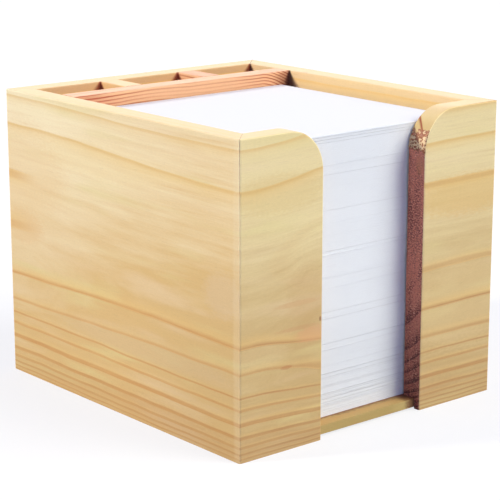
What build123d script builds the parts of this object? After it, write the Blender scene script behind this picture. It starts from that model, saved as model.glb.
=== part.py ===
"""Pine memo holder: a mitred case with a thumb slot, a paper bay and a strip of pen bays.

The origin is at the middle of the footprint, at the height of the desk.
X runs to the right seen from the slotted front, Y runs to the back, Z is up.
"""

import os
from math import cos, radians, sin

from build123d import *

# Driving dimensions in millimetres and degrees

# Loose sheets of paper
sheet_width = 90.0
sheet_thickness = 0.1
bundle_count = 8
bundle_shift = 0.22
bundle_turn = 0.16
top_sheet_shift = 0.3
top_sheet_turn = 0.2
stray_angle = 137.5

# Room round the pile of sheets
side_slack = 5.0
end_slack = 0.75
headroom = 5.0

# Wooden case
case_height = 105.0
wall = 8.0
partition = 8.0
divider = 8.0
pen_bay_depth = 15.5
divider_names = ("divider_left", "divider_right")

# Thumb slot in the front wall
slot_width = 46.0
slot_corner_radius = 14.0

# Base board in a rebate round the foot of the walls
base_thickness = 3.0
base_lift = 0.7
rebate_lip = 2.5

# Sanded edges
edge_ease = 0.5
corner_ease = 0.8

# Sizes and places that follow from the driving dimensions
bay_width = sheet_width + 2 * side_slack
bay_depth = sheet_width + 2 * end_slack
case_width = bay_width + 2 * wall
case_depth = bay_depth + pen_bay_depth + partition + 2 * wall
front = -case_depth / 2
bay_front = front + wall
bay_middle = bay_front + bay_depth / 2
partition_middle = bay_front + bay_depth + partition / 2
pen_bay_middle = partition_middle + partition / 2 + pen_bay_depth / 2
pen_bay_width = (bay_width - len(divider_names) * divider) / (len(divider_names) + 1)
base_top = base_lift + base_thickness
inner_height = case_height - base_top
pile_height = inner_height - headroom
bundle_height = (pile_height - sheet_thickness) / bundle_count

# How near a point lies to a face that it is on
touch = 0.01


def standing_box(width: float, depth: float, height: float) -> Part:
    """Block that stands on the origin's level, centred on it."""
    return Box(width, depth, height, align=(Align.CENTER, Align.CENTER, Align.MIN))


def square_board(length: float, offset: float) -> Part:
    """Wall board before its ends are cut, with the rebate for the base board at its inner foot."""
    board = Pos(0, -offset + wall / 2, 0) * standing_box(length, wall, case_height)
    rebate_depth = wall - rebate_lip
    rebate = Pos(0, -offset + rebate_lip + rebate_depth / 2, 0) * standing_box(length, rebate_depth, base_top)
    return board - rebate


def cut_thumb_slot(board: Part, offset: float) -> Part:
    """Opens the slot from rim to foot and rounds the two corners that it leaves at the rim."""
    board -= Pos(0, -offset + wall / 2, 0) * standing_box(slot_width, wall, case_height)
    across_wall = board.edges().filter_by(Axis.Y)
    at_rim = across_wall.filter_by(lambda edge: edge.center().Z > case_height - touch)
    at_slot = at_rim.filter_by(lambda edge: abs(edge.center().X) < slot_width / 2 + touch)
    return fillet(at_slot, slot_corner_radius)


def ease_rim(board: Part, length: float, offset: float) -> Part:
    """Sands the edges that a hand meets: along the rim and down the sides of the slot."""
    chosen = []
    for edge in board.edges():
        middle = edge.position_at(0.5)
        on_outer_face = abs(middle.Y + offset) < touch
        on_inner_face = abs(middle.Y + offset - wall) < touch
        above_rebate = middle.Z > base_top + touch
        between_ends = abs(middle.X) < length / 2 - touch
        if (on_outer_face or on_inner_face) and above_rebate and between_ends:
            chosen.append(edge)
    return fillet(chosen, edge_ease)


def mitre_ends(board: Part, length: float, offset: float) -> Part:
    """Cuts both ends of a wall board at 45 degrees, through its corners."""
    half = length / 2
    kept = Polyline(
        (-half, -offset),
        (half, -offset),
        (half - wall, -offset + wall),
        (-half + wall, -offset + wall),
        close=True,
    )
    return board & extrude(make_face(kept), case_height)


def set_in_case(board: Part, turn: float) -> Part:
    """Turns a wall from the front to its own side and sands the upright corners of the case."""
    outline = extrude(RectangleRounded(case_width, case_depth, corner_ease), case_height)
    return Rot(0, 0, turn) * board & outline


def plain_wall(length: float, offset: float, turn: float) -> Part:
    """Side or back wall: one mitred board."""
    board = ease_rim(square_board(length, offset), length, offset)
    return set_in_case(mitre_ends(board, length, offset), turn)


def front_stiles() -> ShapeList:
    """Left and right stile of the front wall, one on each side of the thumb slot."""
    offset = case_depth / 2
    board = cut_thumb_slot(square_board(case_width, offset), offset)
    board = ease_rim(board, case_width, offset)
    board = set_in_case(mitre_ends(board, case_width, offset), 0)
    return board.solids().sort_by(Axis.X)


def base_board() -> Part:
    """Thin board that fills the rebate and shows its front edge in the thumb slot."""
    width = case_width - 2 * rebate_lip
    depth = case_depth - 2 * rebate_lip
    return Pos(0, 0, base_lift) * standing_box(width, depth, base_thickness)


def inner_board(width: float, depth: float, sanded: Axis) -> Part:
    """Upright board inside the case, level with the rim, with its long top edges sanded."""
    board = standing_box(width, depth, inner_height)
    top_edges = board.edges().filter_by(sanded).group_by(Axis.Z)[-1]
    return Pos(0, 0, base_top) * fillet(top_edges, edge_ease)


def partition_board() -> Part:
    """Board across the case, between the paper bay and the pen bays."""
    return Pos(0, partition_middle, 0) * inner_board(bay_width, partition, Axis.X)


def divider_board(index: int) -> Part:
    """Short board in the pen strip, counted from the left."""
    first = -bay_width / 2 + pen_bay_width + divider / 2
    middle = first + index * (pen_bay_width + divider)
    return Pos(middle, pen_bay_middle, 0) * inner_board(divider, pen_bay_depth, Axis.Y)


def sheets(height: float, level: float, shift: float, turn: float, index: int) -> Part:
    """Square sheets that lie flat on each other, a little out of line with the bay."""
    angle = radians(index * stray_angle)
    place = Pos(shift * cos(angle), bay_middle + shift * sin(angle), level)
    return place * Rot(0, 0, turn * cos(2 * angle)) * standing_box(sheet_width, sheet_width, height)


def sheet_bundle(index: int) -> Part:
    """One handful of the pile, counted from the base board."""
    level = base_top + index * bundle_height
    return sheets(bundle_height, level, bundle_shift, bundle_turn, index)


def top_sheet() -> Part:
    """The uppermost sheet, loose on the pile."""
    level = base_top + bundle_count * bundle_height
    return sheets(sheet_thickness, level, top_sheet_shift, top_sheet_turn, bundle_count)


def all_pieces() -> dict[str, Part | Solid]:
    """Every piece of the memo holder under its own name."""
    left_stile, right_stile = front_stiles()
    pieces = {
        "front_stile_left": left_stile,
        "front_stile_right": right_stile,
        "left_side_panel": plain_wall(case_depth, case_width / 2, -90),
        "right_side_panel": plain_wall(case_depth, case_width / 2, 90),
        "back_panel": plain_wall(case_width, case_depth / 2, 180),
        "base_board": base_board(),
        "partition_board": partition_board(),
    }
    for index, name in enumerate(divider_names):
        pieces[name] = divider_board(index)
    for index in range(bundle_count):
        pieces[f"sheet_bundle_{index + 1}"] = sheet_bundle(index)
    pieces["top_sheet"] = top_sheet()
    return pieces


os.makedirs("parts", exist_ok=True)
for name, piece in all_pieces().items():
    export_step(piece, f"parts/{name}.step")
    print(name, piece.bounding_box())
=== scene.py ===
"""Looks of a pine memo holder: a mitred case, three pen bays and a pile of loose white sheets.

The boards of the case keep their own shapes and get a grained finish, and a copy of the right
stile gets the fibres that the saw tore. The pile is made leaf by leaf in place of its plain
blocks. Lengths are in metres, and the grain of each board is laid out in millimetres along, into
and across that board.
"""

import logging
import math
import random
from dataclasses import dataclass, field, replace
from enum import Enum
from typing import Callable, ClassVar, NamedTuple, Union

import bpy
from mathutils import Euler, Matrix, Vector, noise


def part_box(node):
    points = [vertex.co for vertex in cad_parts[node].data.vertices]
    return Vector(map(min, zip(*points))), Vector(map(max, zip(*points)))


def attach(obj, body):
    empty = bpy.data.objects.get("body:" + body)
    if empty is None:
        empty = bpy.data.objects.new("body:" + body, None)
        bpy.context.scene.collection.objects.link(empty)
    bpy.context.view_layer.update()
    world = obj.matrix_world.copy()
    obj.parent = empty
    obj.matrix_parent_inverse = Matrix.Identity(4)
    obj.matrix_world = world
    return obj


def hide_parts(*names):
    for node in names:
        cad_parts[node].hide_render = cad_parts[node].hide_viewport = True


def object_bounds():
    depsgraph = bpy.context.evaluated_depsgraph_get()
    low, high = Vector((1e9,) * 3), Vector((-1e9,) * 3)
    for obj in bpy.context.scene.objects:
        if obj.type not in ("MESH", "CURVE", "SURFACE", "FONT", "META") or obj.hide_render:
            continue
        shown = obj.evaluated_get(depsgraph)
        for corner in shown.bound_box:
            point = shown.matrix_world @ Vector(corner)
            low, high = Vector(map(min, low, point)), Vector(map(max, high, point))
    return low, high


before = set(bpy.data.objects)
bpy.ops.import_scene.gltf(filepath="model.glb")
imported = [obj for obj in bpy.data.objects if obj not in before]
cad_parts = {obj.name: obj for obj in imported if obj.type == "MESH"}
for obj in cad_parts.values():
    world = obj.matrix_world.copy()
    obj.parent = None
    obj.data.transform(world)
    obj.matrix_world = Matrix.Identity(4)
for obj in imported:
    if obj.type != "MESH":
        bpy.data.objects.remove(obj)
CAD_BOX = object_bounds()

MM = 0.001
TO_RIGHT, TO_BACK, UP = Vector((1, 0, 0)), Vector((0, 1, 0)), Vector((0, 0, 1))
LOG = logging.getLogger("memo_holder")

Colour = tuple[float, float, float]
Value = Union["Signal", float]
WHITE: Colour = (1.0, 1.0, 1.0)


def paint(red: int, green: int, blue: int) -> Colour:
    """Turns a colour as a screen shows it into the plain light values that shaders take.

    Args:
        red: Red on a scale of 0 to 255.
        green: Green on the same scale.
        blue: Blue on the same scale.

    Returns:
        The three linear values.
    """
    full, straight_to, straight_slope, lift, power = 255, 0.04045, 12.92, 0.055, 2.4
    shares = (level / full for level in (red, green, blue))
    return tuple(
        share / straight_slope if share <= straight_to else ((share + lift) / (1 + lift)) ** power
        for share in shares
    )


class Ramp(NamedTuple):
    """A smooth change: the result goes from start to end while a measure goes from low to high."""

    low: float
    high: float
    start: float = 0.0
    end: float = 1.0


class Swell(NamedTuple):
    """A noise pattern on a board: how far apart its swells are in mm each way, and how fine it is.

    Start moves it along the board, in swells.
    """

    along: float
    into: float
    across: float
    detail: float = 2.0
    roughness: float = 0.5
    start: float = 0.0


@dataclass(frozen=True)
class Signal:
    """A number, colour or vector that runs between nodes. Sums on it add Math nodes."""

    bench: "Bench"
    socket: bpy.types.NodeSocket

    def __add__(self, other: Value) -> "Signal":
        """Sum."""
        return self.bench.math("ADD", self, other)

    def __sub__(self, other: Value) -> "Signal":
        """Difference."""
        return self.bench.math("SUBTRACT", self, other)

    def __rsub__(self, other: float) -> "Signal":
        """Difference, with the plain number first."""
        return self.bench.math("SUBTRACT", other, self)

    def __mul__(self, other: Value) -> "Signal":
        """Product."""
        return self.bench.math("MULTIPLY", self, other)

    def __truediv__(self, other: Value) -> "Signal":
        """Quotient."""
        return self.bench.math("DIVIDE", self, other)

    def __pow__(self, other: Value) -> "Signal":
        """Power."""
        return self.bench.math("POWER", self, other)

    def __abs__(self) -> "Signal":
        """Size without its sign."""
        return self.bench.math("ABSOLUTE", self)

    def whole(self) -> "Signal":
        """Whole part."""
        return self.bench.math("FLOOR", self)

    def most(self, other: Value) -> "Signal":
        """The larger of two."""
        return self.bench.math("MAXIMUM", self, other)

    def least(self, other: Value) -> "Signal":
        """The smaller of two."""
        return self.bench.math("MINIMUM", self, other)

    def ramp(self, ramp: Ramp) -> "Signal":
        """What a ramp gives for this measure."""
        return self.bench.slope(self, *ramp)


Input = Union[Value, Colour, Vector]


class Bench:
    """Where nodes are laid out and wired."""

    MIX_FACTOR, MIX_FIRST, MIX_SECOND, MIX_RESULT = 0, 6, 7, 2

    def __init__(self, tree: bpy.types.NodeTree) -> None:
        """Starts with an empty tree."""
        self.tree = tree
        self.tree.nodes.clear()

    def add(self, kind: str, feeds: dict[Union[int, str], Input], **settings: str) -> bpy.types.Node:
        """Adds a node, gives it its settings and feeds its inputs.

        Args:
            kind: The kind of node.
            feeds: What goes into each input, by its number or name.
            settings: The node's own settings.

        Returns:
            The node.
        """
        node = self.tree.nodes.new(kind)
        for name, value in settings.items():
            setattr(node, name, value)
        for key, value in feeds.items():
            self.feed(node.inputs[key], value)
        return node

    def wire(
        self, kind: str, feeds: dict[Union[int, str], Input], outlet: Union[int, str] = 0, **settings: str
    ) -> Signal:
        """Adds a node as add does, and gives what comes out of one of its outputs."""
        return Signal(self, self.add(kind, feeds, **settings).outputs[outlet])

    def feed(self, socket: bpy.types.NodeSocket, value: Input) -> None:
        """Wires a signal into a socket, or sets the socket to a plain value.

        Args:
            socket: The input to feed.
            value: A signal, number, colour or vector.
        """
        if isinstance(value, Signal):
            self.tree.links.new(value.socket, socket)
        elif socket.type == "RGBA":
            socket.default_value = (*value, 1.0)
        else:
            socket.default_value = value

    def math(self, operation: str, first: Value, second: Value = 0.0) -> Signal:
        """One sum on one or two numbers, named as the node names it."""
        return self.wire("ShaderNodeMath", {0: first, 1: second}, operation=operation)

    def slope(self, value: Value, low: Value, high: Value, start: Value = 0.0, end: Value = 1.0) -> Signal:
        """Eases from start to end while a value goes from low to high, and stays level outside."""
        feeds = dict(enumerate((value, low, high, start, end)))
        return self.wire("ShaderNodeMapRange", feeds, interpolation_type="SMOOTHSTEP")

    def dot(self, vector: Signal, axis: Vector) -> Signal:
        """How far a vector reaches along an axis."""
        return self.wire("ShaderNodeVectorMath", {0: vector, 1: axis}, "Value", operation="DOT_PRODUCT")

    def vector(self, x: Value, y: Value, z: Value) -> Signal:
        """Puts three numbers together."""
        return self.wire("ShaderNodeCombineXYZ", {0: x, 1: y, 2: z})

    def position(self) -> Signal:
        """Place on the piece, in metres."""
        return self.wire("ShaderNodeTexCoord", {}, "Object")

    def facing(self) -> Signal:
        """Direction that the surface faces, in the piece's own axes."""
        return self.wire("ShaderNodeTexCoord", {}, "Normal")

    def attribute(self, name: str) -> Signal:
        """Value that a mesh keeps at its points, or 0 where it keeps none."""
        return self.wire("ShaderNodeAttribute", {}, "Fac", attribute_name=name)

    def noise(self, place: Signal, detail: float = 2.0, roughness: float = 0.5) -> Signal:
        """Smooth noise from about -0.5 to 0.5, whose swells are about one unit of the place apart."""
        feeds = {"Vector": place, "Scale": 1.0, "Detail": detail, "Roughness": roughness}
        return self.wire("ShaderNodeTexNoise", feeds) - 0.5

    def lot(self, number: Value) -> Signal:
        """A chance value from 0 to 1 for each whole number."""
        return self.wire("ShaderNodeTexWhiteNoise", {"W": number}, "Value", noise_dimensions="1D")

    def mix(self, first: Input, second: Input, share: Value) -> Signal:
        """Blends two colours. The share, held between 0 and 1, tells how much of the second shows."""
        feeds = {self.MIX_FACTOR: share, self.MIX_FIRST: first, self.MIX_SECOND: second}
        return self.wire("ShaderNodeMix", feeds, self.MIX_RESULT, data_type="RGBA")

    def shade(self, colour: Signal, strength: Value) -> Signal:
        """Makes a colour darker or lighter by a factor."""
        return self.wire("ShaderNodeVectorMath", {0: colour, "Scale": strength}, operation="SCALE")


class Coat(Bench):
    """The bench of one material, with its surface shader."""

    def __init__(self, name: str) -> None:
        """Starts a material with a bare surface shader.

        Args:
            name: Name of the material.
        """
        self.material = bpy.data.materials.new(name)
        self.material.use_nodes = True
        super().__init__(self.material.node_tree)
        self.surface = self.add("ShaderNodeBsdfPrincipled", {})
        output = self.add("ShaderNodeOutputMaterial", {})
        self.tree.links.new(self.surface.outputs["BSDF"], output.inputs["Surface"])

    def cover(self, colour: Input, roughness: Value, gloss: float) -> None:
        """Gives the surface its colour, how dull it is, and the strength of its mirror light."""
        for name, value in (("Base Color", colour), ("Roughness", roughness), ("Specular IOR Level", gloss)):
            self.feed(self.surface.inputs[name], value)

    def relief(self, height: Signal, depth: float, strength: float) -> None:
        """Gives the surface small hills, with what a height of 1 stands for in metres."""
        feeds = {"Strength": strength, "Distance": depth, "Height": height}
        self.feed(self.surface.inputs["Normal"], self.wire("ShaderNodeBump", feeds, "Normal"))


@dataclass(frozen=True)
class Spot:
    """A place on a board, in millimetres along its grain, below its face and across it."""

    bench: Bench
    along: Signal
    into: Signal
    across: Signal

    def noise(self, swell: Swell, seed: float = 0.0) -> Signal:
        """Reads a noise pattern.

        Args:
            swell: The pattern.
            seed: How far it is moved along the board, in swells.

        Returns:
            A number from about -0.5 to 0.5.
        """
        along = self.along / swell.along + (swell.start + seed)
        place = self.bench.vector(along, self.into / swell.into, self.across / swell.across)
        return self.bench.noise(place, swell.detail, swell.roughness)


@dataclass(frozen=True)
class BoardPlace:
    """How a board lies in the holder: a corner and the directions of its grain, depth and width."""

    corner: Vector
    run: Vector
    depth: Vector
    across: Vector
    start: float = 0.0
    length: float = 0.0

    def read(self, bench: Bench) -> Spot:
        """Reads the place on the board.

        Args:
            bench: Where the nodes go.

        Returns:
            The place.
        """
        feeds = {0: bench.position(), 1: self.corner}
        offset = bench.wire("ShaderNodeVectorMath", feeds, operation="SUBTRACT")
        along, into, across = (bench.dot(offset, way / MM) for way in (self.run, self.depth, self.across))
        return Spot(bench, along + self.start, into, across)


@dataclass(frozen=True)
class PithRings:
    """Year rings round a pith that lies inside the tree, behind the face of the board.

    The rings are counted by the square of the distance from the pith's height, so they crowd
    towards the foot of the board. Farther out they crowd more, as the tree grew more slowly.
    Each swing moves the rings: its first ramp goes by the place along the boards, and its
    second by the square.
    """

    height: float = 65.2
    pith_depth: float = 19.5
    curl: float = 1.8
    first: float = 0.82
    wide_rate: float = 0.0015
    tight_rate: float = 1.9
    tight_spread: float = 4000.0
    tight_power: float = 8.0
    core: Ramp = Ramp(5.0, 78.0, 0.16, 0.0)
    closer: Ramp = Ramp(1350.0, 2500.0, 0.0, 0.95)
    dip_place: float = 5.0
    dip: Ramp = Ramp(0.0, 105.0, 2.15, 0.0)
    dip_by_pith: Ramp = Ramp(28.0, 34.5, 1.0, 0.0)
    rim_lift: Ramp = Ramp(92.0, 99.0, 0.0, 0.3)
    long_wave: Swell = Swell(70.0, 40.0, 34.0)
    long_height: float = 1.4
    short_wave: Swell = Swell(17.0, 9.0, 7.0)
    short_height: float = 0.7
    swings: tuple[tuple[Ramp, Ramp], ...] = (
        (Ramp(-131.0, -30.0), Ramp(1350.0, 1800.0, 140.0, -70.0)),
        (Ramp(5.0, 42.0), Ramp(3000.0, 4000.0, -210.0, -40.0)),
        (Ramp(42.0, 82.0), Ramp(1400.0, 1800.0, 0.0, 120.0)),
        (Ramp(42.0, 82.0), Ramp(300.0, 600.0, -55.0, 0.0)),
    )
    fade_middle: float = -25.0
    fade_ends: Ramp = Ramp(84.0, 106.0, 0.08, 0.9)
    fade_upper: Ramp = Ramp(52.0, 72.0, 0.75, 1.0)
    innermost: tuple[float, float] = (1.02, 1.1)
    weak_line: float = 2.9
    weak_reach: Ramp = Ramp(0.2, 0.6, 0.72, 1.0)
    weak_outer: Ramp = Ramp(6.6, 7.0, 1.0, 0.82)
    weak_rim: Ramp = Ramp(81.0, 87.0, 1.0, 0.7)
    seed: float = 0.0

    def count(self, spot: Spot) -> Signal:
        """Number of the ring at a place, with the dark line of each ring at a whole number.

        Args:
            spot: The place on the board.

        Returns:
            The ring number.
        """
        off_pith = spot.across - self.height
        dip = abs(spot.along - self.dip_place).ramp(self.dip) * abs(off_pith).ramp(self.dip_by_pith)
        level = off_pith - spot.across.ramp(self.rim_lift) + dip
        level = level + spot.noise(self.long_wave, self.seed) * self.long_height
        level = level + spot.noise(self.short_wave, self.seed) * self.short_height
        square = level * level
        first, *others = [spot.along.ramp(where) * square.ramp(reach) for where, reach in self.swings]
        spread = square + sum(others, first)
        spread = spread + spot.into * spot.into - spot.into * (self.pith_depth * 2 * self.curl)
        outer = (spread / self.tight_spread).most(0.0) ** self.tight_power
        number = spread * self.wide_rate + spread.ramp(self.closer) + outer * self.tight_rate
        return number + self.first - spread.ramp(self.core)

    def clarity(self, spot: Spot, number: Signal) -> Signal:
        """How clearly a line shows. The innermost one is lost over the middle of the long run.

        Args:
            spot: The place on the board.
            number: The ring number.

        Returns:
            A share from 0 to 1.
        """
        lost = abs(spot.along - self.fade_middle).ramp(self.fade_ends) * spot.across.ramp(self.fade_upper)
        weak = abs(number - self.weak_line).ramp(self.weak_reach)
        faint = number.ramp(self.weak_outer) * spot.across.ramp(self.weak_rim) * weak
        return spot.bench.slope(number, *self.innermost, lost) * faint


@dataclass(frozen=True)
class FarRings:
    """Year rings that are nearly straight, because the pith is far from the board."""

    spacing: float = 1.3
    slant: float = 0.25
    first: float = 40.0
    droop: Ramp = Ramp(86.0, 109.0, 0.0, 8.0)
    long_wave: Swell = Swell(60.0, 30.0, 25.0)
    long_height: float = 3.0
    short_wave: Swell = Swell(14.0, 6.0, 5.0)
    short_height: float = 0.7
    clear_least: float = 0.25
    clear_range: float = 0.7
    clear_far: Ramp = Ramp(68.0, 96.0, 0.0, 0.9)
    clear_near: Ramp = Ramp(6.0, 45.0, 0.8, 0.0)
    seed: float = 7.0

    def count(self, spot: Spot) -> Signal:
        """Number of the ring at a place, with the dark line of each ring at a whole number.

        Args:
            spot: The place on the board.

        Returns:
            The ring number.
        """
        level = spot.across + spot.into * self.slant + spot.along.ramp(self.droop)
        level = level + spot.noise(self.long_wave, self.seed) * self.long_height
        level = level + spot.noise(self.short_wave, self.seed) * self.short_height
        return level / self.spacing + self.first

    def clarity(self, spot: Spot, number: Signal) -> Signal:
        """How clearly a line shows, which differs from line to line and is most at both ends."""
        own = spot.bench.lot(number.whole() + self.seed) * self.clear_range + self.clear_least
        return own + (spot.along.ramp(self.clear_far) + spot.along.ramp(self.clear_near))


@dataclass(frozen=True)
class Mark:
    """A small stain, streak, knock, painted shade or painted highlight: middle and half sizes along, into
    and across a board.
    """

    RAGGED: ClassVar[Swell] = Swell(2.0, 0.8, 0.8, 3.0, 0.6)
    SOLID_TO: ClassVar[float] = 0.2

    middle: tuple[float, float, float]
    reach: tuple[float, float, float]
    colour: Colour
    strength: float

    def lay(self, spot: Spot, colour: Signal) -> Signal:
        """Lays the mark over a colour.

        Args:
            spot: The place on the board.
            colour: Colour of the wood.

        Returns:
            The colour with the mark.
        """
        away = spot.noise(self.RAGGED)
        for place, middle, reach in zip((spot.along, spot.into, spot.across), self.middle, self.reach):
            away = away + ((place - middle) / reach) ** 2.0
        return spot.bench.mix(colour, self.colour, away.ramp(Ramp(self.SOLID_TO, 1.0, self.strength, 0.0)))


@dataclass(frozen=True)
class PaintedCornerShade:
    """Painted shade deep in an upright inner corner, narrow at the rim and wider below it."""

    SOLID_SHARE: ClassVar[float] = 0.35
    SOFT_EDGE: ClassVar[float] = 0.2
    DEPTH_EDGE: ClassVar[float] = 0.1

    along: float
    reach: float
    depth: float = 7.5
    widening: float = 0.7
    rim_height: float = 105.5
    colour: Colour = paint(74, 26, 28)
    strength: float = 0.8

    def lay(self, spot: Spot, colour: Signal, on_rim: Signal) -> Signal:
        """Lays the painted shade over a colour.

        Args:
            spot: The place on the board.
            colour: Colour of the wood.
            on_rim: How far the surface faces up.

        Returns:
            The colour with the painted shade.
        """
        away = abs(spot.along - self.along)
        width = ((self.rim_height - spot.across) * self.widening).least(self.reach)
        solid, end = width * self.SOLID_SHARE, width + self.SOFT_EDGE
        dark = spot.bench.slope(away, solid, end, self.strength, 0.0)
        deep = spot.into.ramp(Ramp(self.depth - self.DEPTH_EDGE, self.depth + self.DEPTH_EDGE))
        return spot.bench.mix(colour, self.colour, dark * deep * (1.0 - on_rim))


@dataclass(frozen=True)
class LateWood:
    """Thin dark line at the end of each ring, which comes and goes, and the warm band before it."""

    begin: Ramp = Ramp(1.5, 9.0, 0.84, 0.56)
    rise: float = 0.13
    fall: Ramp = Ramp(0.965, 1.0, 1.0, 0.35)
    bleed: Ramp = Ramp(0.0, 0.03, 0.35, 0.0)
    bleed_to: float = 0.06
    least: float = 0.68
    differs: float = 0.22
    fade: float = 0.7
    fade_length: float = 22.0
    fade_apart: float = 7.3
    glow_begin: Ramp = Ramp(1.5, 9.0, 0.6, 0.2)
    glow_least: float = 0.5

    def line(self, spot: Spot, number: Signal, ring: Signal) -> Signal:
        """Strength of the dark line.

        Args:
            spot: The place on the board.
            number: The ring number.
            ring: How far through its ring the place is, from 0 to 1.

        Returns:
            A share of about 1 on the line and 0 off it.
        """
        bench, begin = spot.bench, number.ramp(self.begin)
        rise = bench.slope(ring, begin, begin + self.rise) * ring.ramp(self.fall)
        whole = (number + self.bleed_to).whole()
        own = bench.lot(whole) * self.differs + self.least
        fading = bench.noise(bench.vector(spot.along / self.fade_length, whole * self.fade_apart, 0.0))
        return rise.most(ring.ramp(self.bleed)) * (own + fading * self.fade)

    def glow(self, number: Signal, ring: Signal) -> Signal:
        """Strength of the warm band, which deepens slowly towards the line."""
        own = number.bench.lot(number.whole() + 0.5) * (1 - self.glow_least) + self.glow_least
        return number.bench.slope(ring, number.ramp(self.glow_begin), 1.0) * own


@dataclass(frozen=True)
class EarlyWood:
    """Soft wood between the lines: how its cream and straw drift, with blots, wisps and ducts."""

    cloud: Swell = Swell(42.0, 20.0, 16.0, 3.0)
    cloud_share: float = 0.55
    band_length: float = 45.0
    band_depth: float = 12.0
    band_by_ring: float = 3.6
    band_across: float = 0.3
    band_detail: float = 4.0
    band_roughness: float = 0.65
    blot: Swell = Swell(60.0, 14.0, 9.0, 3.0, start=9.0)
    blushes: Ramp = Ramp(0.0, 0.26, 0.0, 0.3)
    greens: Ramp = Ramp(-0.22, -0.02, 0.45, 0.0)
    wisp: Ramp = Ramp(0.1, 0.32, 0.0, 0.16)
    duct: Swell = Swell(7.0, 0.4, 0.35, 1.0, start=3.0)
    duct_shade: Ramp = Ramp(0.16, 0.24, 1.0, 0.93)

    def colour(self, finish: "WoodFinish", spot: Spot, number: Signal) -> Signal:
        """Colour of the soft wood, paler towards one edge of the board.

        Args:
            finish: The board's finish, for its tones.
            spot: The place on the board.
            number: The ring number.

        Returns:
            The colour.
        """
        bench = spot.bench
        tone = bench.slope(spot.across, finish.straw_low, finish.straw_high, 1.0, 0.0)
        near = spot.along.ramp(Ramp(*finish.near_run, 0.0, finish.straw_near))
        sway = number * self.band_by_ring + spot.across * self.band_across
        strip = bench.vector(spot.along / self.band_length, sway, spot.into / self.band_depth)
        band = bench.noise(strip, self.band_detail, self.band_roughness)
        drift = tone + near + spot.noise(self.cloud) * self.cloud_share + band
        blot = spot.noise(self.blot)
        colour = bench.mix(finish.cream, finish.straw, drift)
        colour = bench.mix(colour, finish.blush, blot.ramp(self.blushes))
        colour = bench.mix(colour, finish.olive, blot.ramp(self.greens))
        return bench.mix(colour, finish.line, band.ramp(self.wisp))

    def ducts(self, spot: Spot, colour: Signal) -> Signal:
        """Lays short thin strokes over a colour, where the plane cut along a resin duct."""
        return spot.bench.shade(colour, spot.noise(self.duct).ramp(self.duct_shade))


@dataclass(frozen=True)
class EndGrain:
    """Sawn end of the fibres, speckled and crossed by the rings, dark on the right stile, partly with
    painted shade.
    """

    # Dark end grain of the right stile: partly its own colour, partly painted shade.
    wood: Colour = paint(200, 122, 98)
    line: Colour = paint(98, 50, 44)
    pale_wood: Colour = paint(214, 164, 112)
    pale_line: Colour = paint(160, 104, 66)
    turns_dark_and_shaded: Ramp = Ramp(57.0, 59.0)
    faces: Ramp = Ramp(0.87, 0.93)
    band_rise: Ramp = Ramp(0.4, 0.95)
    band_fall: Ramp = Ramp(0.96, 1.0, 1.0, 0.0)
    band_core: Ramp = Ramp(0.9, 1.6, 0.5, 1.0)
    band_share: float = 0.8
    pale_band_share: float = 0.7
    speck: Swell = Swell(0.8, 0.5, 0.5, 2.0, 0.8)
    speck_share: float = 5.2
    pale_speck_share: float = 1.6
    bright_specks: Ramp = Ramp(-0.22, -0.08, 0.6, 0.0)
    stripe: Swell = Swell(2.6, 30.0, 30.0, 1.0)
    stripe_share: float = 1.8
    least: float = 0.08
    # Painted shade: the right stile's end grain darker towards the foot.
    darker_foot: Ramp = Ramp(15.0, 60.0, 0.8, 1.2)

    def colour(self, spot: Spot, number: Signal, ring: Signal, bright: Colour) -> Signal:
        """Colour of the sawn ends.

        Args:
            spot: The place on the board.
            number: The ring number.
            ring: How far through its ring the place is.
            bright: Colour of the brightest specks.

        Returns:
            The colour.
        """
        bench = spot.bench
        band = ring.ramp(self.band_rise) * ring.ramp(self.band_fall) * number.ramp(self.band_core)
        end_on = Spot(bench, spot.into, spot.across, spot.along)
        speck, stripe = end_on.noise(self.speck), end_on.noise(self.stripe)
        depth = band * self.band_share + speck * self.speck_share + stripe * self.stripe_share
        dark = bench.mix(self.wood, self.line, depth + self.least)
        dark = bench.mix(dark, bright, speck.ramp(self.bright_specks))
        dark = bench.shade(dark, spot.across.ramp(self.darker_foot))
        depth = band * self.pale_band_share + speck * self.pale_speck_share
        pale = bench.mix(self.pale_wood, self.pale_line, depth)
        # Pale end grain, and on the right stile the darker one, partly painted shade.
        return bench.mix(pale, dark, spot.along.ramp(self.turns_dark_and_shaded))


@dataclass(frozen=True)
class Shoulder:
    """Rounded wood between the rim and the thumb slot, where the fibres are cut at a slant."""

    colour: Colour = paint(200, 167, 104)
    line: Colour = paint(150, 70, 36)
    slant: Ramp = Ramp(0.1, 0.4)
    paler_up: Ramp = Ramp(98.5, 104.5, 0.85, 0.3)
    line_slant: Ramp = Ramp(0.15, 0.4)
    line_strength: float = 1.8

    def lay(self, spot: Spot, colour: Signal, slanted: Signal, late: Signal) -> Signal:
        """Lays the shoulder over a colour.

        Args:
            spot: The place on the board.
            colour: Colour of the wood.
            slanted: How far the surface faces both up and along the grain.
            late: Strength of the dark line.

        Returns:
            The colour with the shoulder.
        """
        paler = spot.across.ramp(self.paler_up)
        colour = spot.bench.mix(colour, self.colour, slanted.ramp(self.slant) * paler)
        share = slanted.ramp(self.line_slant) * late * self.line_strength
        return spot.bench.mix(colour, self.line, share)


@dataclass(frozen=True)
class TornFibres:
    """Light tufts and dark pits, partly painted shade, where fibres were torn out, at the strength kept in
    the mesh.
    """

    LAYER: ClassVar[str] = "torn"

    tuft: Colour = paint(234, 202, 154)
    # Partly painted shade in the hollows where fibres were torn out.
    pit_and_shade: Colour = paint(158, 96, 62)
    tufts: Ramp = Ramp(0.45, 0.7)
    shows: Ramp = Ramp(0.05, 0.25)

    def lay(self, ragged: Signal, colour: Signal) -> Signal:
        """Lays the torn fibres over a colour, going by their strength."""
        fibres = ragged.bench.mix(self.pit_and_shade, self.tuft, ragged.ramp(self.tufts))
        return ragged.bench.mix(colour, fibres, ragged.ramp(self.shows))


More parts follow.
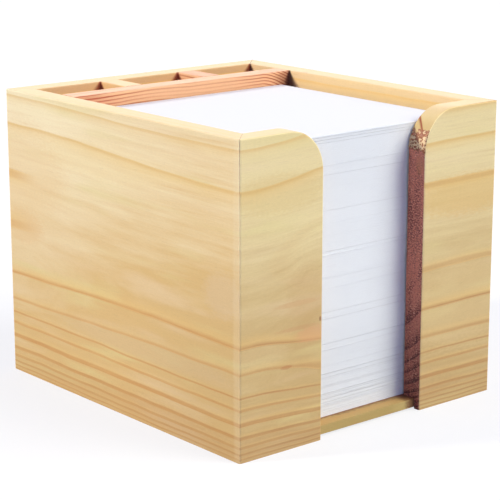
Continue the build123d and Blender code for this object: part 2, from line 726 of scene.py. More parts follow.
@dataclass(frozen=True)
class MitreSeam:
    """Dark hairline where two boards meet at a corner, open near the rim and tight lower down."""

    colour: Colour = paint(98, 50, 44)
    gap: Ramp = Ramp(0.04, 0.34, 1.0, 0.0)
    open_top: Ramp = Ramp(80.0, 95.0, 0.05, 1.0)
    waver_length: float = 9.0
    waver_middle: float = 0.8
    strength: float = 0.85

    def lay(self, spot: Spot, colour: Signal, place: BoardPlace) -> Signal:
        """Lays the hairline over a colour.

        Args:
            spot: The place on the board.
            colour: Colour of the wood.
            place: How the board lies in the holder.

        Returns:
            The colour with the hairline.
        """
        from_start = abs(spot.along - place.start - spot.into)
        from_end = abs(place.start + place.length - spot.along - spot.into)
        gap = from_start.least(from_end).ramp(self.gap) * spot.across.ramp(self.open_top)
        bench = spot.bench
        waver = bench.noise(bench.vector(spot.across / self.waver_length, 0.0, 0.0)) + self.waver_middle
        return bench.mix(colour, self.colour, gap * waver * self.strength)


@dataclass(frozen=True)
class WoodFinish:
    """Bare sanded softwood: soft early wood that darkens to a hard line at the end of each ring."""

    name: str
    rings: Union[PithRings, FarRings]
    cream: Colour = paint(250, 232, 192)
    straw: Colour = paint(232, 204, 150)
    blush: Colour = paint(252, 226, 186)
    olive: Colour = paint(236, 220, 150)
    halo: Colour = paint(244, 204, 128)
    line: Colour = paint(212, 150, 84)
    gold: Colour = paint(226, 182, 102)
    rim: Colour = paint(226, 196, 145)
    # Painted shade: the darker, warmer colour of inner faces.
    inside: Colour = paint(230, 188, 128)
    straw_low: float = 15.0
    straw_high: float = 95.0
    straw_near: float = 0.0
    near_run: tuple[float, float] = (-131.0, 0.0)
    near_shade: float = 0.0
    near_shade_along: Ramp = Ramp(-70.0, 0.0)
    near_shade_across: Ramp = Ramp(10.0, 85.0, 1.0, 0.0)
    # Painted highlight on rounded corners and eased edges: how much lighter they get.
    corner_painted_light: float = 0.3
    corner_light_facing: Ramp = Ramp(0.1, 0.45)
    line_strength: float = 0.8
    line_gold: Ramp = Ramp(62.0, 92.0)
    line_foot: Ramp = Ramp(3.0, 18.0, 0.88, 1.0)
    halo_strength: float = 0.7
    level: Ramp = Ramp(0.7, 0.97)
    rim_share: float = 0.85
    rim_hides: float = 0.75
    inside_shade_share: float = 0.0
    shaded_inner_face: Ramp = Ramp(7.2, 7.9)
    fibre: Swell = Swell(6.0, 0.24, 0.24, 3.0, 0.6)
    fibre_shade: float = 0.1
    fibre_roughness: float = 0.15
    grit: Swell = Swell(1.1, 0.5, 0.5, 2.0, 0.7)
    grit_shade: float = 0.14
    roughness: float = 0.55
    gloss: float = 0.35
    relief: float = 0.05 * MM
    relief_strength: float = 0.5
    line_height: float = 0.5
    early: EarlyWood = EarlyWood()
    late: LateWood = LateWood()
    end: EndGrain = EndGrain()
    shoulder: Shoulder = Shoulder()
    torn: TornFibres = TornFibres()
    seam: Union[MitreSeam, None] = None
    stains: tuple[Mark, ...] = ()
    # Marks laid over the grain; some are painted shade and painted highlight.
    marks_and_painted_light: tuple[Mark, ...] = ()
    # Painted shade deep in inner corners.
    corners: tuple[PaintedCornerShade, ...] = ()

    def material(self, place: BoardPlace) -> bpy.types.Material:
        """Makes the material for one board.

        Args:
            place: How the board lies in the holder.

        Returns:
            The finished material.
        """
        bench = Coat(self.name)
        spot = place.read(bench)
        upward = bench.dot(bench.facing(), UP)
        sideways, outward = (abs(bench.dot(bench.facing(), way)) for way in (place.run, place.depth))
        on_rim = upward.ramp(self.level)
        number = self.rings.count(spot)
        ring = bench.math("FRACT", number)
        seen = self.rings.clarity(spot, number) * (1.0 - on_rim * self.rim_hides)
        late = self.late.line(spot, number, ring) * seen
        fibre = spot.noise(self.fibre)

        colour = self.face(spot, number, on_rim)
        glow = self.late.glow(number, ring) * seen * self.halo_strength
        colour = bench.mix(colour, self.halo, glow)
        tint = bench.mix(self.line, self.gold, spot.across.ramp(self.line_gold))
        tint = bench.shade(tint, spot.across.ramp(self.line_foot))
        colour = bench.mix(colour, tint, late * self.line_strength)
        if self.near_shade:
            low = spot.along.ramp(self.near_shade_along) * spot.across.ramp(self.near_shade_across)
            colour = bench.shade(colour, 1.0 - low * self.near_shade)
        rough = fibre * self.fibre_shade + spot.noise(self.grit) * self.grit_shade
        colour = self.early.ducts(spot, bench.shade(colour, rough + 1.0))
        # Painted highlight where the surface faces halfway between two sides, on rounded corners and eased
        # edges.
        colour = bench.shade(colour, (sideways * outward).ramp(self.corner_light_facing) * self.corner_painted_light + 1.0)
        colour = self.shoulder.lay(spot, colour, sideways * upward, late)
        sawn = self.end.colour(spot, number, ring, self.blush)
        colour = bench.mix(colour, sawn, sideways.ramp(self.end.faces))
        # Marks, painted shade and painted highlight.
        for mark in self.marks_and_painted_light:
            colour = mark.lay(spot, colour)
        colour = self.torn.lay(bench.attribute(self.torn.LAYER), colour)
        # Painted shade deep in inner corners.
        for corner in self.corners:
            colour = corner.lay(spot, colour, on_rim)
        if self.seam:
            colour = self.seam.lay(spot, colour, place)

        bench.cover(colour, fibre * self.fibre_roughness + self.roughness, self.gloss)
        bench.relief(fibre + late * self.line_height + 0.5, self.relief, self.relief_strength)
        return bench.material

    def face(self, spot: Spot, number: Signal, on_rim: Signal) -> Signal:
        """Soft wood with its stains, another tone on up-facing surfaces, and painted shade on the inner
        face.

        Args:
            spot: The place on the board.
            number: The ring number.
            on_rim: How far the surface faces up.

        Returns:
            The colour.
        """
        colour = self.early.colour(self, spot, number)
        for stain in self.stains:
            colour = stain.lay(spot, colour)
        colour = spot.bench.mix(colour, self.rim, on_rim * self.rim_share)
        # Painted shade on the inner face of a wall.
        if self.inside_shade_share:
            deep = spot.into.ramp(self.shaded_inner_face) * (1.0 - on_rim)
            colour = spot.bench.mix(colour, self.inside, deep * self.inside_shade_share)
        return colour


@dataclass(frozen=True)
class WallPine(WoodFinish):
    """Pine of the outer walls, with painted shade on the inner faces and a hairline where two walls meet."""

    rings: PithRings = PithRings()
    inside_shade_share: float = 0.7
    seam: MitreSeam = MitreSeam()


@dataclass(frozen=True)
class RedPine(WoodFinish):
    """The redder, close-grained wood of the partition and one divider."""

    rings: FarRings = FarRings()
    cream: Colour = paint(234, 182, 134)
    straw: Colour = paint(229, 164, 116)
    blush: Colour = paint(240, 184, 144)
    olive: Colour = paint(240, 192, 134)
    halo: Colour = paint(234, 150, 108)
    line: Colour = paint(168, 86, 48)
    gold: Colour = paint(168, 86, 48)
    rim: Colour = paint(238, 188, 146)
    end: EndGrain = EndGrain(wood=paint(150, 86, 64), line=paint(100, 50, 40))


@dataclass(frozen=True)
class PaperFinish:
    """Uncoated white writing paper, with painted shade low in the pile and painted light on its edges."""

    name: str = "white_paper"
    sheet: Colour = paint(228, 228, 226)
    # Painted light: the edges are brighter than the up-facing sheets.
    edge: Colour = paint(249, 253, 250)
    flat: Ramp = Ramp(0.4, 0.9)
    # Painted shade: darker low in the pile.
    painted_shade_foot: Ramp = Ramp(5.0, 60.0, 0.92, 1.0)
    pulp: float = 0.4 * MM
    pulp_detail: float = 3.0
    pulp_roughness: float = 0.6
    pulp_shade: float = 0.02
    relief: float = 0.01 * MM
    relief_strength: float = 0.4
    roughness: float = 0.85
    gloss: float = 0.2

    def material(self) -> bpy.types.Material:
        """Makes the paper's material.

        Returns:
            The finished material.
        """
        bench = Coat(self.name)
        position = bench.position()
        flat = abs(bench.dot(bench.facing(), UP)).ramp(self.flat)
        foot_shade = bench.dot(position, UP / MM).ramp(self.painted_shade_foot)
        pulp = bench.noise(bench.shade(position, 1 / self.pulp), self.pulp_detail, self.pulp_roughness)
        # Painted light: brighter edges, darker up-facing sheets.
        colour = bench.mix(self.edge, self.sheet, flat)
        # Painted shade low in the pile.
        colour = bench.shade(colour, (pulp * self.pulp_shade + 1.0) * foot_shade)
        bench.cover(colour, self.roughness, self.gloss)
        bench.relief(pulp, self.relief, self.relief_strength)
        return bench.material


class Shop:
    """The hand tools: small steps in object and edit mode."""

    WELD = 0.001 * MM

    @staticmethod
    def take(piece: bpy.types.Object) -> None:
        """Makes one piece the only one selected, and the active one.

        Args:
            piece: The piece.
        """
        bpy.ops.object.select_all(action="DESELECT")
        piece.select_set(True)
        bpy.context.view_layer.objects.active = piece

    @staticmethod
    def edit(piece: bpy.types.Object, *steps: Callable[[], object]) -> None:
        """Works on the whole of a piece in edit mode, with all of it selected before each step.

        Args:
            piece: The piece.
            steps: What is done to it.
        """
        Shop.take(piece)
        bpy.ops.object.mode_set(mode="EDIT")
        for step in steps:
            bpy.ops.mesh.select_all(action="SELECT")
            step()
        bpy.ops.object.mode_set(mode="OBJECT")

    @staticmethod
    def sheet(name: str, size: float, centre: Vector, cuts: int = 0) -> bpy.types.Object:
        """Adds a flat square.

        Args:
            name: Name of the piece.
            size: Length of its side.
            centre: Place of its middle.
            cuts: Cuts made across each side.

        Returns:
            The new piece, with its place in its mesh.
        """
        bpy.ops.object.select_all(action="DESELECT")
        bpy.ops.mesh.primitive_plane_add(size=size, location=centre)
        piece = bpy.context.active_object
        piece.name = piece.data.name = name
        bpy.ops.object.transform_apply(location=True, rotation=True, scale=True)
        if cuts:
            Shop.edit(piece, lambda: bpy.ops.mesh.subdivide(number_cuts=cuts))
        return piece

    @staticmethod
    def face_outwards() -> None:
        """Turns every selected face outwards."""
        bpy.ops.mesh.normals_make_consistent(inside=False)

    @staticmethod
    def thicken(piece: bpy.types.Object, height: float) -> None:
        """Pulls a flat piece straight up into a closed solid.

        Args:
            piece: The flat piece.
            height: Height of the solid.
        """
        pull = {"value": (0, 0, height)}
        Shop.edit(
            piece,
            lambda: bpy.ops.mesh.extrude_region_move(TRANSFORM_OT_translate=pull),
            Shop.face_outwards,
        )

    @staticmethod
    def copy_of(node: str, name: str) -> bpy.types.Object:
        """Copies a node of the frame, with its points welded.

        Args:
            node: Name of the node.
            name: Name of the copy.

        Returns:
            The copy.
        """
        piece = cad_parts[node].copy()
        piece.data = piece.data.copy()
        piece.name = piece.data.name = name
        bpy.context.scene.collection.objects.link(piece)
        Shop.edit(piece, lambda: bpy.ops.mesh.remove_doubles(threshold=Shop.WELD), Shop.face_outwards)
        return piece

    @staticmethod
    def steps(low: float, high: float, step: float) -> list[float]:
        """Evenly spaced places from one value to another, both included."""
        count = max(1, round((high - low) / step))
        return [low + (high - low) * number / count for number in range(count + 1)]

    @staticmethod
    def cut(
        piece: bpy.types.Object,
        place: Vector,
        direction: Vector,
        wanted: Callable[[bpy.types.MeshPolygon], bool],
    ) -> None:
        """Draws a flat cut across the faces that are wanted, and takes nothing away.

        Args:
            piece: The piece.
            place: A point of the cut.
            direction: The direction square to it.
            wanted: Tells which faces are cut.
        """
        Shop.take(piece)
        mesh = piece.data
        chosen = [wanted(face) for face in mesh.polygons]
        for parts in (mesh.vertices, mesh.edges):
            parts.foreach_set("select", [False] * len(parts))
        mesh.polygons.foreach_set("select", chosen)
        bpy.ops.object.mode_set(mode="EDIT")
        bpy.ops.mesh.select_mode(type="FACE")
        bpy.ops.mesh.bisect(plane_co=place, plane_no=direction, use_fill=False)
        bpy.ops.object.mode_set(mode="OBJECT")

    @staticmethod
    def pile_up(piece: bpy.types.Object, count: int, pitch: float) -> None:
        """Repeats a piece straight up.

        Args:
            piece: The lowest copy.
            count: How many there are in all.
            pitch: Distance from one to the next.
        """
        Shop.take(piece)
        array = piece.modifiers.new("pile", "ARRAY")
        array.count = count
        array.use_relative_offset = False
        array.use_constant_offset = True
        array.constant_offset_displace = (0, 0, pitch)
        bpy.ops.object.modifier_apply(modifier=array.name)

    @staticmethod
    def hand_over(piece: bpy.types.Object, node: str, slot: str, body: str) -> None:
        """Sets a finished piece in place of a node, on its body, and reports it.

        Args:
            piece: The finished piece.
            node: The node that it stands for.
            slot: Not used.
            body: The body that it moves with.
        """
        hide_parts(node)
        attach(piece, body)
        LOG.info("%s stands for %s", piece.name, node)


class Side(Enum):
    """The four sides of the case: the nodes that make each, its tones and its rings."""

    LEFT = (
        ("left_side_panel",),
        WallPine(
            "pine_left",
            cream=paint(255, 236, 188),
            straw=paint(230, 192, 126),
            # Painted shade on the inner face.
            inside=paint(214, 168, 108),
            straw_near=0.5,
            near_shade=0.15,
            # Painted highlight on the rounded corners.
            corner_painted_light=0.4,
            stains=(
                Mark((-60.0, 0.0, 1.0), (110.0, 4.0, 11.0), paint(206, 152, 96), 0.3),
                Mark((-122.0, 0.0, 76.0), (34.0, 4.0, 22.0), paint(240, 202, 140), 0.4),
                Mark((-122.0, 0.0, 56.0), (16.0, 4.0, 8.0), paint(236, 192, 130), 0.4),
                Mark((-72.0, 0.0, 87.0), (46.0, 4.0, 8.0), paint(246, 218, 156), 0.45),
                Mark((-52.0, 0.0, 27.0), (64.0, 4.0, 6.0), paint(226, 198, 150), 0.35),
                Mark((-8.0, 0.0, 54.0), (12.0, 4.0, 9.0), paint(234, 206, 162), 0.4),
            ),
            # Painted highlight: a pale band down the rounded near corner.
            marks_and_painted_light=(Mark((-1.0, 0.5, 52.0), (2.8, 2.8, 90.0), paint(255, 244, 206), 0.12),),
        ),
    )
    FRONT = (
        ("front_stile_left", "front_stile_right"),
        WallPine(
            "pine_front",
            cream=paint(246, 226, 167),
            straw=paint(214, 181, 121),
            straw_low=26.0,
            line=paint(192, 138, 86),
            # Painted highlight on the rounded corners and eased edges.
            corner_painted_light=0.2,
            stains=(
                Mark((58.0, 0.0, 1.0), (120.0, 4.0, 11.0), paint(196, 148, 98), 0.32),
                Mark((104.0, 0.0, 74.0), (36.0, 4.0, 9.0), paint(232, 192, 116), 0.6),
                Mark((30.0, 0.0, 51.0), (13.0, 4.0, 13.0), paint(214, 176, 118), 0.4),
                Mark((16.0, 0.0, 86.0), (26.0, 4.0, 8.0), paint(230, 200, 130), 0.45),
                Mark((102.0, 0.0, 36.0), (34.0, 4.0, 21.0), paint(236, 208, 148), 0.5),
                Mark((8.0, 0.0, 34.0), (16.0, 4.0, 6.0), paint(232, 206, 150), 0.35),
            ),
            marks_and_painted_light=(
                Mark((31.0, 0.0, 37.6), (9.0, 3.0, 3.4), paint(232, 172, 120), 0.5),
                Mark((24.0, 0.0, 40.6), (11.0, 3.0, 0.9), paint(212, 156, 104), 0.35),
                Mark((24.0, 0.0, 48.9), (12.0, 3.0, 1.2), paint(218, 166, 112), 0.35),
                Mark((19.5, 0.0, 28.3), (3.0, 2.0, 0.9), paint(196, 132, 82), 0.5),
                Mark((34.1, 0.0, 42.0), (0.6, 1.0, 1.1), paint(150, 92, 62), 0.7),
                Mark((81.0, 2.2, 86.0), (0.6, 2.4, 4.0), paint(206, 134, 92), 0.5),
            ),
        ),
    )
    RIGHT = (
        ("right_side_panel",),
        WallPine(
            "pine_right",
            cream=paint(246, 226, 180),
            straw=paint(222, 190, 138),
            # Painted shade on the inner face.
            inside=paint(225, 186, 129),
            # Painted shade in the corner by the partition and in the far corner.
            corners=(PaintedCornerShade(215.5, 4.4, strength=0.85), PaintedCornerShade(239.0, 4.5, widening=1.0)),
        ),
    )
    BACK = (
        ("back_panel",),
        WallPine(
            "pine_back",
            PithRings(seed=5.0),
            cream=paint(248, 224, 176),
            straw=paint(222, 190, 138),
            # Painted shade on the inner face.
            inside=paint(208, 158, 98),
            # Painted shade in the corner of each pen bay.
            corners=tuple(
                PaintedCornerShade(along, 5.0, widening=1.1, colour=paint(148, 46, 24))
                for along in (255.0, 291.0, 327.0)
            ),
        ),
    )

    def __init__(self, nodes: tuple[str, ...], finish: WoodFinish) -> None:
        """Keeps the names of the boards on this side, and their wood."""
        self.nodes, self.finish = nodes, finish


@dataclass
class TornStile:
    """Right stile, with the short fibres that the saw tore at the shoulder of the thumb slot.

    Each point of the torn zone gets a roughness from coarse noise, chance and its height, and a
    strength that fades to both ends of the zone along a ragged line.
    """

    node: str = "front_stile_right"
    name: str = "stile_with_torn_fibres"
    lowest: float = 89.8 * MM
    highest: float = 98.2 * MM
    step: float = 0.36 * MM
    swell: float = 0.42 * MM
    out: float = 0.4 * MM
    back: float = 0.64 * MM
    slot_facing: float = -0.5
    zone_facing: float = -0.6
    stretch: float = 0.7
    by_chance: float = 0.24
    by_height: float = 0.4
    ragged_layers: tuple[tuple[float, float], ...] = ((0.4, 0.9), (1.3, 0.3))
    fade_in: float = 6.0
    fade_in_late: float = 0.5
    fade_in_ragged: float = 1.4
    fade_out: float = 2.2
    kept_middle: float = 0.55
    kept_least: float = 0.3
    seed: int = 5

    def build(self, body: str) -> None:
        """Makes the stile in place of the plain one.

        Args:
            body: The body that it moves with.
        """
        piece = Shop.copy_of(self.node, self.name)
        self.divide(piece)
        self.tear(piece)
        Shop.hand_over(piece, self.node, "pine", body)

    def on_slot(self, face: bpy.types.MeshPolygon) -> bool:
        """Whether a face looks into the thumb slot."""
        return face.normal.x < self.slot_facing

    def in_zone(self, face: bpy.types.MeshPolygon) -> bool:
        """Whether a face is on the slot's side of the shoulder."""
        return face.normal.x < self.zone_facing and self.lowest < face.center.z < self.highest

    def divide(self, piece: bpy.types.Object) -> None:
        """Cuts the shoulder into small faces, level by level and then from front to back.

        Args:
            piece: The stile.
        """
        low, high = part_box(self.node)
        for level in Shop.steps(self.lowest, self.highest, self.step):
            Shop.cut(piece, level * UP, UP, self.on_slot)
        for place in Shop.steps(low.y + self.step, high.y - self.step, self.step):
            Shop.cut(piece, place * TO_BACK, TO_BACK, self.in_zone)

    def tear(self, piece: bpy.types.Object) -> None:
        """Pulls tufts out and pits in, and notes both on the mesh.

        Args:
            piece: The stile, already divided.
        """
        low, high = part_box(self.node)
        mesh = piece.data
        inside = [self.in_zone(face) for face in mesh.polygons]
        outward, border = {}, set()
        for face, torn in zip(mesh.polygons, inside):
            if torn:
                outward.update((index, face.normal) for index in face.vertices)
            else:
                border.update(face.vertices)
        layer = mesh.attributes.new(TornFibres.LAYER, "FLOAT", "POINT")
        chance = random.Random(self.seed)
        for index, normal in sorted(outward.items()):
            point = mesh.vertices[index]
            place = point.co / self.swell
            share = (point.co.z - self.lowest) / (self.highest - self.lowest)
            rough = noise.noise(Vector((place.x, place.y, place.z * self.stretch)))
            rough += chance.uniform(-self.by_chance, self.by_chance) + share * self.by_height
            ragged = sum(noise.noise(place * scale) * height for scale, height in self.ragged_layers)
            foot = share * self.fade_in - self.fade_in_late - ragged * self.fade_in_ragged
            strength = min(1.0, foot, (1 - share) * self.fade_out + ragged)
            if strength <= 0 or index in border:
                continue
            kept = min(1.0, max(self.kept_least, self.kept_middle + rough))
            layer.data[index].value = strength * kept
            point.co += normal * rough * strength * (self.out if rough > 0 else self.back)
            point.co.y = min(max(point.co.y, low.y), high.y)


@dataclass
class WoodenCase:
    """The mitred case with its base board, partition and dividers."""

    body: str = "case"
    # Painted shade at the partition's ends: dark by the right wall, wider, fainter and redder by the left
    # wall.
    partition_painted_shades: tuple[PaintedCornerShade, ...] = (
        PaintedCornerShade(101.0, 11.0, -0.5, 4.0, 102.5, paint(120, 48, 38), 0.45),
        PaintedCornerShade(100.0, 3.2, -0.5, 0.7, 102.0, strength=0.85),
        PaintedCornerShade(0.0, 22.0, -0.5, 9.0, 102.5, paint(190, 84, 60), 0.3),
    )
    # Painted shade where each divider meets the back wall.
    divider_painted_shade: PaintedCornerShade = PaintedCornerShade(75.5, 4.5, -0.5, 1.0, 101.8, paint(148, 46, 24))
    red_divider_shade_along: float = 35.5
    divider_start: float = 60.0
    red_divider_start: float = 20.0
    width: float = field(init=False)
    depth: float = field(init=False)

    def __post_init__(self) -> None:
        """Reads the outer size of the case from the frame, in millimetres."""
        self.width, self.depth, _ = (CAD_BOX[1] - CAD_BOX[0]) / MM

    def wall_place(self, side: Side) -> BoardPlace:
        """How the wall on one side lies, with the grain running on round the corners.

        Args:
            side: The side of the case.

        Returns:
            The wall's place.
        """
        lowest, highest = CAD_BOX
        near_left = Vector((lowest.x, lowest.y, 0))
        near_right = Vector((highest.x, lowest.y, 0))
        far_right = Vector((highest.x, highest.y, 0))
        if side is Side.FRONT:
            return BoardPlace(near_left, TO_RIGHT, TO_BACK, UP, 0.0, self.width)
        if side is Side.LEFT:
            return BoardPlace(near_left, -TO_BACK, TO_RIGHT, UP, 0.0, -self.depth)
        if side is Side.RIGHT:
            return BoardPlace(near_right, TO_BACK, -TO_RIGHT, UP, self.width, self.depth)
        return BoardPlace(far_right, -TO_RIGHT, -TO_BACK, UP, self.width + self.depth, self.width)

    def dress(self, node: str, material: bpy.types.Material) -> None:
        """Gives a node of the frame its finish and reports it.

        Args:
            node: Name of the node.
            material: The finish.
        """
        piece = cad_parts[node]
        for slot in piece.material_slots:
            slot.material = material
        LOG.info("%s dressed in %s", node, material.name)

    def build(self) -> None:
        """Dresses every board."""
        for side in Side:
            material = side.finish.material(self.wall_place(side))
            for node in side.nodes:
                self.dress(node, material)
        TornStile().build(self.body)
        self.dress_partition()
        self.dress_dividers()
        self.dress_base()

    def dress_partition(self) -> None:
        """Dresses the close-grained board between the paper bay and the pen bays."""
        place = BoardPlace(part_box("partition_board")[0], TO_RIGHT, TO_BACK, UP)
        finish = RedPine("red_pine_partition", corners=self.partition_painted_shades)
        self.dress("partition_board", finish.material(place))

    def dress_dividers(self) -> None:
        """Dresses the two short boards, one of pale wood and one of red wood."""
        # Painted shade where the divider meets the back wall.
        corner = self.divider_painted_shade
        pale = WoodFinish(
            "pine_divider",
            PithRings(seed=31.0),
            cream=paint(232, 188, 128),
            straw=paint(222, 172, 110),
            rim=paint(236, 202, 152),
            corners=(corner,),
        )
        red = RedPine(
            "red_pine_divider",
            rim=paint(226, 170, 130),
            corners=(replace(corner, along=self.red_divider_shade_along),),
        )
        for node, finish, start in (
            ("divider_left", pale, self.divider_start),
            ("divider_right", red, self.red_divider_start),
        ):
            place = BoardPlace(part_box(node)[0], TO_BACK, TO_RIGHT, UP, start)
            self.dress(node, finish.material(place))

    def dress_base(self) -> None:
        """Dresses the thin board under the paper."""
        place = BoardPlace(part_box("base_board")[0], TO_RIGHT, UP, TO_BACK)
        finish = WoodFinish(
            "pine_base",
            FarRings(spacing=4.5, droop=Ramp(0.0, 1.0, 0.0, 0.0), seed=3.0),
            cream=paint(208, 180, 114),
            straw=paint(194, 166, 100),
            halo=paint(202, 160, 98),
            rim=paint(196, 160, 94),
            marks_and_painted_light=(
                # Painted shade on the top face at the foot of the pile.
                Mark((55.0, 3.0, 9.5), (300.0, 9.0, 6.0), paint(110, 58, 34), 0.85),
                # Painted shadow of the right stile at the base's right end.
                Mark((80.0, 1.5, 2.0), (7.0, 9.0, 12.0), paint(110, 54, 36), 0.8),
            ),
        )
        self.dress("base_board", finish.material(place))


@dataclass(frozen=True)
class Slip:
    """A leaf near the top that slid: how far down it lies, how far it slid back and its turn."""

    upper: float
    lower: float
    back: float
    turn: float


@dataclass
class SheetPile:
    """The pile of loose square sheets, leaf by leaf, and the top sheet on it."""

    body: str = "sheet_pile"
    top_body: str = "top_sheet"
    bundles: int = 8
    side: float = 90 * MM
    leaf: float = 0.1 * MM
    air: float = 0.1
    top_cuts: int = 10
    seed: int = 41
    small_stray: float = 0.02 * MM
    large_stray: float = 0.2 * MM
    turn_spread: float = 0.0004
    pile_top: float = 100 * MM
    untidy_foot: float = 34 * MM
    untidy_top: float = 4 * MM
    astray: float = 0.025
    astray_foot: float = 0.4
    astray_foot_power: float = 1.5
    astray_top: float = 0.04
    slips: tuple[Slip, ...] = (
        Slip(0.6 * MM, 0.7 * MM, 0.28 * MM, 0.0012),
        Slip(1.5 * MM, 1.6 * MM, 0.3 * MM, -0.0016),
        Slip(2.5 * MM, 2.6 * MM, 0.24 * MM, 0.002),
    )
    middles: list[Vector] = field(default_factory=list)

    def build(self) -> None:
        """Makes the bundles from the foot up, and the top sheet."""
        paper = PaperFinish().material()
        chance = random.Random(self.seed)
        nodes = [f"sheet_bundle_{index + 1}" for index in range(self.bundles)]
        self.middles = [sum(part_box(node), Vector()) / 2 for node in nodes]
        for index, node in enumerate(nodes):
            self.bundle(node, index, paper, chance)
        self.top_sheet(paper)

    def foot(self, node: str) -> tuple[Vector, float]:
        """Middle of a block's foot, and how high the block is."""
        lowest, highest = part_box(node)
        return Vector((*(lowest + highest).xy / 2, lowest.z)), highest.z - lowest.z

    def lean(self, height: float) -> Vector:
        """Where the middle of a leaf belongs, so that the pile leans smoothly from bundle to bundle.

        Args:
            height: Height of the leaf above the desk.

        Returns:
            The middle, at that height.
        """
        below = [middle for middle in self.middles if middle.z <= height] or self.middles[:1]
        above = [middle for middle in self.middles if middle.z > height] or self.middles[-1:]
        low, high = below[-1], above[0]
        rise = high.z - low.z
        share = min(1.0, max(0.0, (height - low.z) / rise)) if rise > 0 else 0.0
        ease = share * share * (3 - 2 * share)
        return low.lerp(high, ease)

    def bundle(self, node: str, index: int, paper: bpy.types.Material, chance: random.Random) -> None:
        """Makes one handful of the pile as separate leaves.

        Args:
            node: The block that it stands for.
            index: Its number in the pile, from the foot.
            paper: The finish.
            chance: Source of the leaves' small strays.
        """
        centre, height = self.foot(node)
        count = round(height / self.leaf)
        pitch = height / count
        piece = Shop.sheet(f"leaves_{index + 1}", self.side, centre)
        Shop.thicken(piece, pitch * (1 - self.air))
        Shop.pile_up(piece, count, pitch)
        self.jog(piece, count, centre, chance)
        piece.data.materials.append(paper)
        Shop.hand_over(piece, node, "paper", self.body)

    def jog(self, piece: bpy.types.Object, count: int, centre: Vector, chance: random.Random) -> None:
        """Moves each leaf a little out of line, and a few leaves more.

        Args:
            piece: The stacked leaves.
            count: How many leaves it has.
            centre: Middle of the bundle's foot.
            chance: Source of the strays.
        """
        points = piece.data.vertices
        per_leaf = len(points) // count
        leaves = sorted(points, key=lambda point: point.co.z)
        for number in range(count):
            own = leaves[number * per_leaf:(number + 1) * per_leaf]
            height = own[0].co.z
            astray = chance.random() < self.share_astray(height)
            reach = self.large_stray if astray else self.small_stray
            shift = self.lean(height) - centre
            shift += Vector((chance.uniform(-reach, reach), chance.uniform(-reach, reach), 0))
            turn = chance.gauss(0, self.turn_spread)
            for slip in self.slips:
                if slip.upper <= self.pile_top - height < slip.lower:
                    shift.y += slip.back
                    turn += slip.turn
            for point in own:
                arm = point.co - centre
                point.co.x += shift.x - arm.y * turn
                point.co.y += shift.y + arm.x * turn

    def share_astray(self, height: float) -> float:
        """Share of the leaves that lie out of line at a height: many at the foot, some at the top.

        Args:
            height: Height above the desk.

        Returns:
            The share.
        """
        foot = max(0.0, 1 - height / self.untidy_foot) ** self.astray_foot_power
        top = max(0.0, 1 - (self.pile_top - height) / self.untidy_top)
        return self.astray + self.astray_foot * foot + self.astray_top * top

    def top_sheet(self, paper: bpy.types.Material) -> None:
        """Makes the uppermost sheet.

        Args:
            paper: The finish.
        """
        centre, height = self.foot("top_sheet")
        piece = Shop.sheet("loose_top_sheet", self.side, centre, self.top_cuts)
        Shop.thicken(piece, height)
        piece.data.materials.append(paper)
        Shop.hand_over(piece, "top_sheet", "paper", self.top_body)


@dataclass(frozen=True)
class Lamp:
    """A far, soft lamp: where it hangs, how bright it is and how wide it looks.

    Azimuth is in degrees to the right of the front, elevation in degrees above the floor. Level
    is the brightness of a white card held square to the lamp. Spread is in degrees.
    """

    name: str
    azimuth: float
    elevation: float
    level: float
    spread: float
    colour: Colour = WHITE

    def hang(self) -> None:
        """Hangs the lamp so that it shines on the holder."""
        turn, rise = math.radians(self.azimuth), math.radians(self.elevation)
        flat = math.cos(rise)
        away = Vector((math.sin(turn) * flat, -math.cos(turn) * flat, math.sin(rise)))
        data = bpy.data.lights.new(self.name, "SUN")
        data.energy = self.level * math.pi
        data.angle = math.radians(self.spread)
        data.color = self.colour
        piece = bpy.data.objects.new(self.name, data)
        piece.location = away
        piece.rotation_euler = away.to_track_quat("Z", "Y").to_euler()
        bpy.context.scene.collection.objects.link(piece)


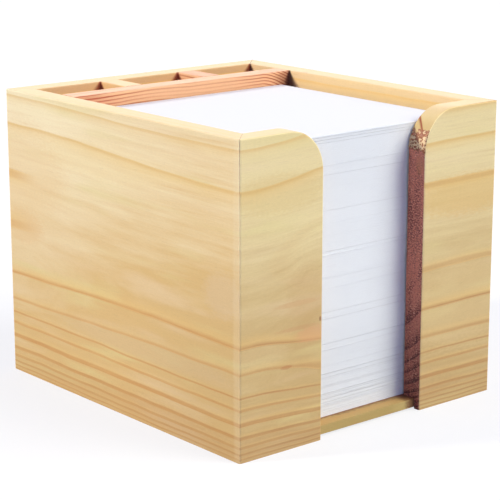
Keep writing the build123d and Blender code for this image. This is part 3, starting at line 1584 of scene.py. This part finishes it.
@dataclass
class Studio:
    """Pale floor, white surround and four soft lamps."""

    floor_size: float = 8.0
    floor_colour: Colour = (0.25, 0.25, 0.25)
    floor_roughness: float = 0.9
    floor_lift: float = 0.73
    ambient: float = 0.15
    ambient_colour: Colour = (0.55, 0.84, 2.75)
    lamps: tuple[Lamp, ...] = (
        Lamp("key", 37.0, 39.0, 0.98, 46.0, (1.035, 1.0, 0.865)),
        Lamp("back_left", -118.0, 27.0, 0.88, 10.0, (1.035, 1.0, 0.89)),
        Lamp("front_fill", -36.0, 12.0, 0.1, 40.0, (0.8, 0.94, 1.34)),
        Lamp("back_right", 137.0, 12.0, 0.25, 50.0),
    )

    def build(self) -> None:
        """Sets up floor, surround and lamps."""
        self.floor()
        self.surround()
        for lamp in self.lamps:
            lamp.hang()

    def floor(self) -> None:
        """Lays the floor, which looks white where it is lit and keeps the shadow."""
        piece = Shop.sheet("floor", self.floor_size, Vector())
        bench = Coat("pale_floor")
        bench.cover(self.floor_colour, self.floor_roughness, 0.0)
        seen = bench.wire("ShaderNodeLightPath", {}, "Is Camera Ray")
        bench.feed(bench.surface.inputs["Emission Color"], WHITE)
        bench.feed(bench.surface.inputs["Emission Strength"], seen * self.floor_lift)
        piece.data.materials.append(bench.material)

    def surround(self) -> None:
        """Lights all round with faint cool light, and shows white to the camera."""
        world = bpy.data.worlds.new("surround")
        world.use_nodes = True
        bpy.context.scene.world = world
        bench = Bench(world.node_tree)
        by_camera, by_gloss = (
            bench.wire("ShaderNodeLightPath", {}, ray) for ray in ("Is Camera Ray", "Is Glossy Ray")
        )
        seen = by_camera.most(by_gloss)
        tint = bench.mix(self.ambient_colour, WHITE, seen)
        feeds = {"Color": tint, "Strength": seen.ramp(Ramp(0.0, 1.0, self.ambient, 1.0))}
        background = bench.wire("ShaderNodeBackground", feeds)
        bench.add("ShaderNodeOutputWorld", {"Surface": background})


@dataclass
class Viewpoint:
    """The camera, where the photograph was taken from. Heading and dip are in degrees."""

    place: Vector = field(default_factory=lambda: Vector((-0.4009, -0.4772, 0.2046)))
    heading: float = 40.14
    dip: float = 14.06
    lens: float = 128.7

    def build(self) -> None:
        """Sets up the camera."""
        data = bpy.data.cameras.new("camera")
        data.lens = self.lens
        camera = bpy.data.objects.new("camera", data)
        camera.location = self.place
        camera.rotation_euler = Euler((math.radians(90 - self.dip), 0, -math.radians(self.heading)))
        bpy.context.scene.collection.objects.link(camera)
        bpy.context.scene.camera = camera


def main() -> None:
    """Builds the scene in order."""
    logging.basicConfig(level=logging.INFO, format="%(name)s: %(message)s")
    bpy.context.scene.view_settings.view_transform = "Standard"
    Viewpoint().build()
    Studio().build()
    WoodenCase().build()
    SheetPile().build()


if __name__ == "__main__":
    main()
